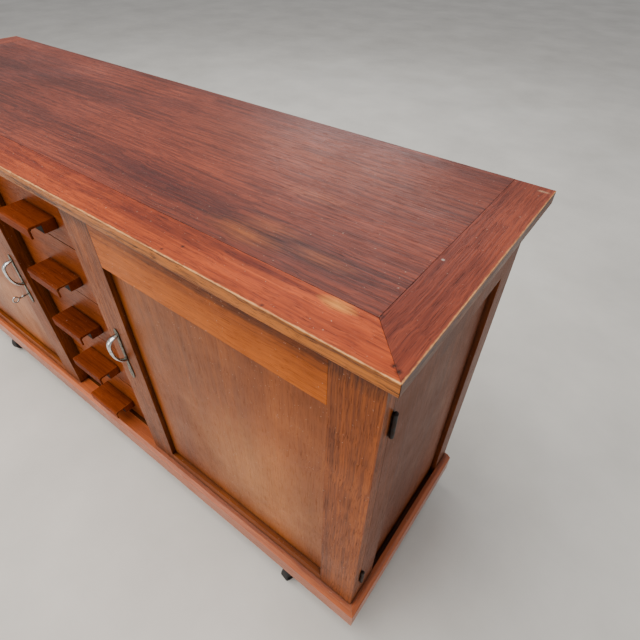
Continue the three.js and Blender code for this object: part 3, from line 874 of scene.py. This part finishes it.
@dataclass
class Door:
    """A framed door with its handle."""

    side: Side
    boards: Boards
    plate_stations: tuple[tuple[float, float], ...] = (
        (3, 4.5), (9, 7), (18, 8), (30, 7.6), (42, 6), (52, 4.4), (62, 4.4), (80, 5), (100, 5),
        (118, 4.4), (128, 4.8), (136, 6.4), (143, 6.6), (150, 4.6), (152.6, 1.2))
    bow_path: tuple[tuple[float, float], ...] = (
        (1.0, 134), (6, 134), (11, 133.6), (16, 132.2), (21, 129.2), (24.4, 124.6), (25.8, 118.5), (26, 112),
        (25.8, 104), (25, 96), (23.3, 88), (20.6, 80.5), (16.8, 73.6), (12.2, 68), (7.4, 64.6), (3.6, 63.2),
        (1.0, 63))

    def build(self, bright: bpy.types.Material, dull: bpy.types.Material) -> None:
        """Dresses the door's boards and makes its handle.

        Args:
            bright: the bow's material.
            dull: the plate's material.
        """
        look = self.boards.palette
        word = self.side.word
        for part, finish, grain in (
                ("hinge_stile", look.stile, Grain.HEIGHT), ("meeting_stile", look.stile, Grain.HEIGHT),
                ("top_rail", look.rail, Grain.LENGTH), ("bottom_rail", look.panel, Grain.LENGTH),
                ("panel", look.panel, Grain.HEIGHT)):
            low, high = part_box(f"door_{word}_{part}")
            middle = (low + high) / 2
            # Painted shadow: a dark band across the top of each door board, under the overhang of the top.
            overhang_shadow = Mark((middle.x, low.y, DOOR_TOP), (2.0, 0.2, 0.05), rgb(14, 6, 2), 1.0)
            marks = (overhang_shadow,)
            if part == "panel":
                marks += (
                    Mark((middle.x - 0.10, low.y, 0.66), (0.16, 0.2, 0.15), rgb(96, 50, 14), 0.5),
                    Mark((middle.x + 0.06, low.y, 0.36), (0.22, 0.2, 0.22), rgb(208, 132, 62), 0.6))
            elif part == "top_rail":
                marks += (Mark((0.247, low.y, 0.795), (0.005, 0.2, 0.004), rgb(250, 220, 190), 0.9),)
            self.boards.paint(f"door_{word}_{part}", replace(finish, marks=marks), grain)
        node = f"door_{word}_handle"
        handle = self._handle(node, bright, dull)
        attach(handle, f"door_{word}")
        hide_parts(node)
        LOG.info("handle %s", handle.name)

    def _handle(self, node: str, bright: bpy.types.Material, dull: bpy.types.Material) -> bpy.types.Object:
        """The long shaped plate and the bow that stands on it.

        Args:
            node: the CAD node the handle stands for.
            bright: the bow's material.
            dull: the plate's material.

        Returns:
            The handle.
        """
        low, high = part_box(node)
        middle = (low.x + high.x) / 2
        back = high.y
        plate = self._plate(middle, back, low.z)
        dress(plate, dull)
        bow = self._bow(middle, back, low.z)
        dress(bow, bright)
        return Bench.merge(f"{node}_bow", [plate, bow])

    def _plate(self, x: float, back: float, foot: float) -> bpy.types.Object:
        """The plate, drawn upwards from its lower tip.

        Args:
            x: its middle.
            back: the face it lies on.
            foot: the height of its lower tip.

        Returns:
            The plate.
        """
        Bench.clear()
        tip = (x, back, foot + 0.9 * MM)
        bpy.ops.mesh.primitive_plane_add(size=1, location=tip, rotation=(math.pi / 2, 0, 0))
        plate = bpy.context.object
        plate.scale = (2.4 * MM, 1.4 * MM, 1)
        bpy.ops.object.transform_apply(location=True, rotation=True, scale=True)
        bpy.ops.object.mode_set(mode="EDIT")
        top = foot + 1.6 * MM
        half = 1.2
        for height, width in self.plate_stations:
            level = top
            Bench.pick(lambda middle: middle.z > level - 0.05 * MM)
            lift = foot + height * MM - top
            bpy.ops.mesh.extrude_region_move(TRANSFORM_OT_translate={"value": (0, 0, lift)})
            top = foot + height * MM
            bpy.ops.transform.resize(value=(width / half, 1, 1), center_override=(x, back, top))
            half = width
        bpy.ops.object.mode_set(mode="OBJECT")
        thick = plate.modifiers.new("thickness", "SOLIDIFY")
        thick.thickness = 2 * MM
        thick.offset = 0
        bpy.ops.object.modifier_apply(modifier=thick.name)
        plate.location.y -= 1.0 * MM
        Bench.finish(plate, bevel=0.5 * MM, levels=1, angle=50)
        return plate

    def _bow(self, x: float, back: float, foot: float) -> bpy.types.Object:
        """The bow, an oval strap run from the plate's upper part, out and down.

        Args:
            x: its middle.
            back: the face the plate lies on.
            foot: the height of the plate's lower tip.

        Returns:
            The bow.
        """
        Bench.clear()
        places = [Vector((x, back - out * MM, foot + up * MM)) for out, up in self.bow_path]
        bpy.ops.mesh.primitive_circle_add(
            vertices=14, radius=1, fill_type="NGON", location=places[0], rotation=(math.pi / 2, 0, 0))
        bow = bpy.context.object
        bow.scale = (6.8 * MM, 3.5 * MM, 1)
        bpy.ops.object.transform_apply(location=True, rotation=True, scale=True)
        bpy.ops.object.mode_set(mode="EDIT")
        bpy.ops.mesh.select_mode(type="FACE")
        bpy.ops.mesh.select_all(action="SELECT")
        headings = [math.pi]
        for index in range(1, len(places)):
            before = places[index] - places[index - 1]
            after = places[min(index + 1, len(places) - 1)] - places[index]
            step = before + after if index < len(places) - 1 else Vector((0, 1, 0))
            headings.append(math.atan2(step.z, step.y))
        stations = []
        for index in range(1, len(places)):
            turn = (headings[index] - headings[index - 1] + math.pi) % (2 * math.pi) - math.pi
            stations.append((places[index] - places[index - 1], 1.0, -turn))
        Bench.run_along(stations)
        bpy.ops.object.mode_set(mode="OBJECT")
        Bench.finish(bow, levels=1)
        return bow


@dataclass
class Hinges:
    """The black butt hinges: two on each door."""

    side: Side

    def build(self, metal: bpy.types.Material) -> None:
        """Dresses the leaves.

        Args:
            metal: the iron.
        """
        for level in ("low", "high"):
            for part in ("door_leaf", "case_leaf"):
                node = f"hinge_{self.side.word}_{level}_{part}"
                dress(frame["nodes"][node], metal)
                LOG.info("hinge %s", node)


@dataclass
class Key:
    """The key that stands in the left door's lock."""

    ring_wire: float = 1.8 * MM

    def build(self, metal: bpy.types.Material) -> None:
        """Makes the key: an oval ring, a collar and a shaft.

        Args:
            metal: its material.
        """
        low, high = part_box("key")
        middle = (low + high) / 2
        ring_outer = (high.z - low.z) / 2
        ring_y = low.y + ring_outer
        Bench.clear()
        bpy.ops.mesh.primitive_torus_add(
            major_radius=ring_outer - self.ring_wire, minor_radius=self.ring_wire, major_segments=36,
            minor_segments=12, location=(middle.x, ring_y, middle.z), rotation=(0, math.pi / 2, 0))
        ring = bpy.context.object
        ring.scale = (1.0, 0.96, 1.0)
        Bench.finish(ring)
        neck = ring_y + ring_outer - self.ring_wire - 0.2 * MM
        bpy.ops.mesh.primitive_circle_add(
            vertices=20, radius=3.4 * MM, fill_type="NGON", location=(middle.x, neck, middle.z),
            rotation=(-math.pi / 2, 0, 0))
        shaft = bpy.context.object
        bpy.ops.object.transform_apply(location=True, rotation=True, scale=True)
        bpy.ops.object.mode_set(mode="EDIT")
        bpy.ops.mesh.select_mode(type="FACE")
        bpy.ops.mesh.select_all(action="SELECT")
        length = high.y - neck
        Bench.run_along([
            (Vector((0, 2 * MM, 0)), 0.7, 0.0), (Vector((0, 8 * MM, 0)), 1.0, 0.0),
            (Vector((0, 0.2 * MM, 0)), 1.5, 0.0), (Vector((0, 2 * MM, 0)), 1.0, 0.0),
            (Vector((0, 0.2 * MM, 0)), 0.67, 0.0), (Vector((0, length - 12.4 * MM, 0)), 1.0, 0.0)])
        bpy.ops.object.mode_set(mode="OBJECT")
        Bench.finish(shaft, bevel=0.25 * MM)
        key = Bench.merge("key_turned", [ring, shaft])
        dress(key, metal)
        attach(key, "key")
        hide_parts("key")
        LOG.info("key")


@dataclass
class Drawers:
    """The five drawers and their hooded pulls."""

    boards: Boards
    count: int = 5

    def build(self) -> None:
        """Dresses the drawers; the boxes behind the fronts are raw wood."""
        for number in range(1, self.count + 1):
            node = f"drawer_{number}"
            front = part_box(node)[0].y
            low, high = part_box(f"{node}_pull")
            # Painted shade: a dark patch on the drawer front just under its pull.
            shade = Mark((-7 * MM, front, low.z - 4 * MM), (0.05, 0.012, 0.013), rgb(12, 6, 4), 1.0)
            made = replace(self.boards.palette.drawer, raw_behind=front + 19.6 * MM, marks=(shade,))
            self.boards.paint(node, made, Grain.LENGTH)
            # The box of the finger groove, whose inside gets painted shade.
            groove = (low.y + 4.2 * MM, low.y + 26.7 * MM, high.z - 4.7 * MM)
            self.boards.paint(
                f"{node}_pull", replace(self.boards.palette.pull, groove=groove), Grain.LENGTH, 1.0 * MM)


@dataclass
class Casters:
    """The four swivel casters."""

    half: float = 10 * MM
    rim: float = 6 * MM
    dish: float = 3 * MM
    web: float = 12 * MM
    hub: float = 2.6 * MM

    def build(self, iron: bpy.types.Material, rubber: bpy.types.Material) -> None:
        """Dresses the plates and forks and makes the wheels.

        Args:
            iron: the plates' and forks' material.
            rubber: the wheels' material.
        """
        for corner in Corner:
            for part in ("plate", "fork"):
                node = f"caster_{corner.value}_{part}"
                soften_node(node, 0.4 * MM)
                dress(frame["nodes"][node], iron)
            self._wheel(corner, rubber)
            LOG.info("caster %s", corner.value)

    def _wheel(self, corner: Corner, rubber: bpy.types.Material) -> None:
        """A wheel with a rounded tread, a dished web and a hub.

        Args:
            corner: which caster.
            rubber: its material.
        """
        node = f"caster_{corner.value}_wheel"
        joint = next(j for j in frame["joints"] if j["child"] == node)
        centre = Vector(joint["pos_m"])
        heading = math.atan2(joint["axis"][1], joint["axis"][0])
        radius = centre.z
        Bench.clear()
        bpy.ops.mesh.primitive_cylinder_add(
            vertices=48, radius=radius, depth=2 * self.half, location=(0, 0, 0), rotation=(0, math.pi / 2, 0))
        wheel = bpy.context.object
        bpy.ops.object.transform_apply(location=True, rotation=True, scale=True)
        bpy.ops.object.mode_set(mode="EDIT")
        for end in (-1, 1):
            Bench.pick(lambda middle: abs(middle.x - end * self.half) < 0.1 * MM, "FACE")
            bpy.ops.mesh.inset(thickness=self.rim)
            bpy.ops.mesh.extrude_region_move(TRANSFORM_OT_translate={"value": (-end * self.dish, 0, 0)})
            bpy.ops.mesh.inset(thickness=self.web)
            bpy.ops.mesh.extrude_region_move(TRANSFORM_OT_translate={"value": (end * self.hub, 0, 0)})
            bpy.ops.mesh.inset(thickness=4 * MM)
        bpy.ops.object.mode_set(mode="OBJECT")
        Bench.finish(wheel, bevel=1.6 * MM, angle=50)
        wheel.data.transform(Matrix.Translation(centre) @ Matrix.Rotation(heading, 4, "Z"))
        wheel.name = f"caster_{corner.value}_tyre"
        wheel.data.name = wheel.name
        dress(wheel, rubber)
        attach(wheel, node)
        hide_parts(node)


@dataclass
class Studio:
    """Floor, soft lights and camera."""

    camera_place: tuple[float, float, float] = (0.944404, -0.513793, 1.251743)
    lens: float = 25.952
    right: tuple[float, float, float] = (0.799692, 0.600274, 0.012786)
    down: tuple[float, float, float] = (0.414660, -0.536762, -0.734809)
    ahead: tuple[float, float, float] = (-0.434223, 0.592922, -0.678154)

    @staticmethod
    def floor() -> None:
        """A plain pale floor."""
        Bench.clear()
        bpy.ops.mesh.primitive_plane_add(size=60, location=(0, 0, 0))
        ground = bpy.context.object
        ground.name = "floor"
        material, sheet, place = new_material("pale floor")
        cloud = sheet.spread(sheet.noise(place, 2.2, 5.0, 0.6), 0.3, 0.7)
        colour = sheet.mix(cloud, rgb(206, 203, 197), rgb(224, 221, 215))
        skin = sheet.add("ShaderNodeBsdfPrincipled", {"Base Color": colour, "Roughness": 0.85})
        sheet.add("ShaderNodeOutputMaterial", {"Surface": skin.outputs[0]})
        dress(ground, material)

    @staticmethod
    def softbox(
            name: str, place: tuple[float, float, float], aim: tuple[float, float, float],
            size: float, power: float, colour: tuple[float, float, float]) -> None:
        """Adds one soft light.

        Args:
            name: its name.
            place: where it stands.
            aim: where it points.
            size: its edge in metres.
            power: its power in watts.
            colour: its colour.
        """
        light = bpy.data.lights.new(name, "AREA")
        light.shape = "SQUARE"
        light.size = size
        light.energy = power
        light.color = colour
        lamp = bpy.data.objects.new(name, light)
        bpy.context.collection.objects.link(lamp)
        lamp.location = place
        lamp.rotation_euler = (Vector(aim) - Vector(place)).to_track_quat("-Z", "Y").to_euler()

    def build(self) -> None:
        """Sets up the floor, the lights and the camera."""
        self.floor()
        world = bpy.data.worlds.new("soft daylight")
        bpy.context.scene.world = world
        world.use_nodes = True
        sheet = Sheet(world.node_tree)
        glow = sheet.add("ShaderNodeBackground", {"Color": (0.98, 0.98, 1.0, 1.0), "Strength": 0.42})
        sheet.add("ShaderNodeOutputWorld", {"Surface": glow.outputs[0]})
        self.softbox("sky", (-0.6, -0.9, 4.2), (0.0, 0.0, 0.4), 3.6, 215, (1.0, 0.96, 0.9))
        self.softbox("front", (-1.6, -3.4, 1.9), (0.1, 0, 0.5), 2.2, 66, (1.0, 0.95, 0.88))
        self.softbox("back", (-1.4, 3.4, 2.9), (0, 0, 0.9), 2.2, 26, (0.95, 0.98, 1.0))
        lens = bpy.data.cameras.new("camera")
        lens.lens = self.lens
        lens.sensor_width = 36
        lens.clip_start = 0.02
        eye = bpy.data.objects.new("camera", lens)
        bpy.context.collection.objects.link(eye)
        axes = [Vector(self.right), -Vector(self.down), -Vector(self.ahead)]
        turn = Matrix((axes[0], axes[1], axes[2])).transposed().to_4x4()
        eye.matrix_world = Matrix.Translation(Vector(self.camera_place)) @ turn
        bpy.context.scene.camera = eye


def main() -> None:
    """Builds the cabinet's looks in order."""
    logging.basicConfig(level=logging.INFO, format="%(name)s: %(message)s")
    effects = Effects()
    palette = Palette()
    boards = Boards(palette, effects)
    iron = palette.iron.build("blackened iron", effects)
    nickel = palette.nickel.build("nickel plate", effects)
    tarnished = palette.tarnished.build("tarnished nickel", effects)
    rubber = palette.rubber.build("black rubber", effects)
    boards.build()
    for side in Side:
        Door(side, boards).build(nickel, tarnished)
        Hinges(side).build(iron)
    Key().build(nickel)
    Drawers(boards).build()
    Casters().build(iron, rubber)
    Studio().build()


if __name__ == "__main__":
    main()
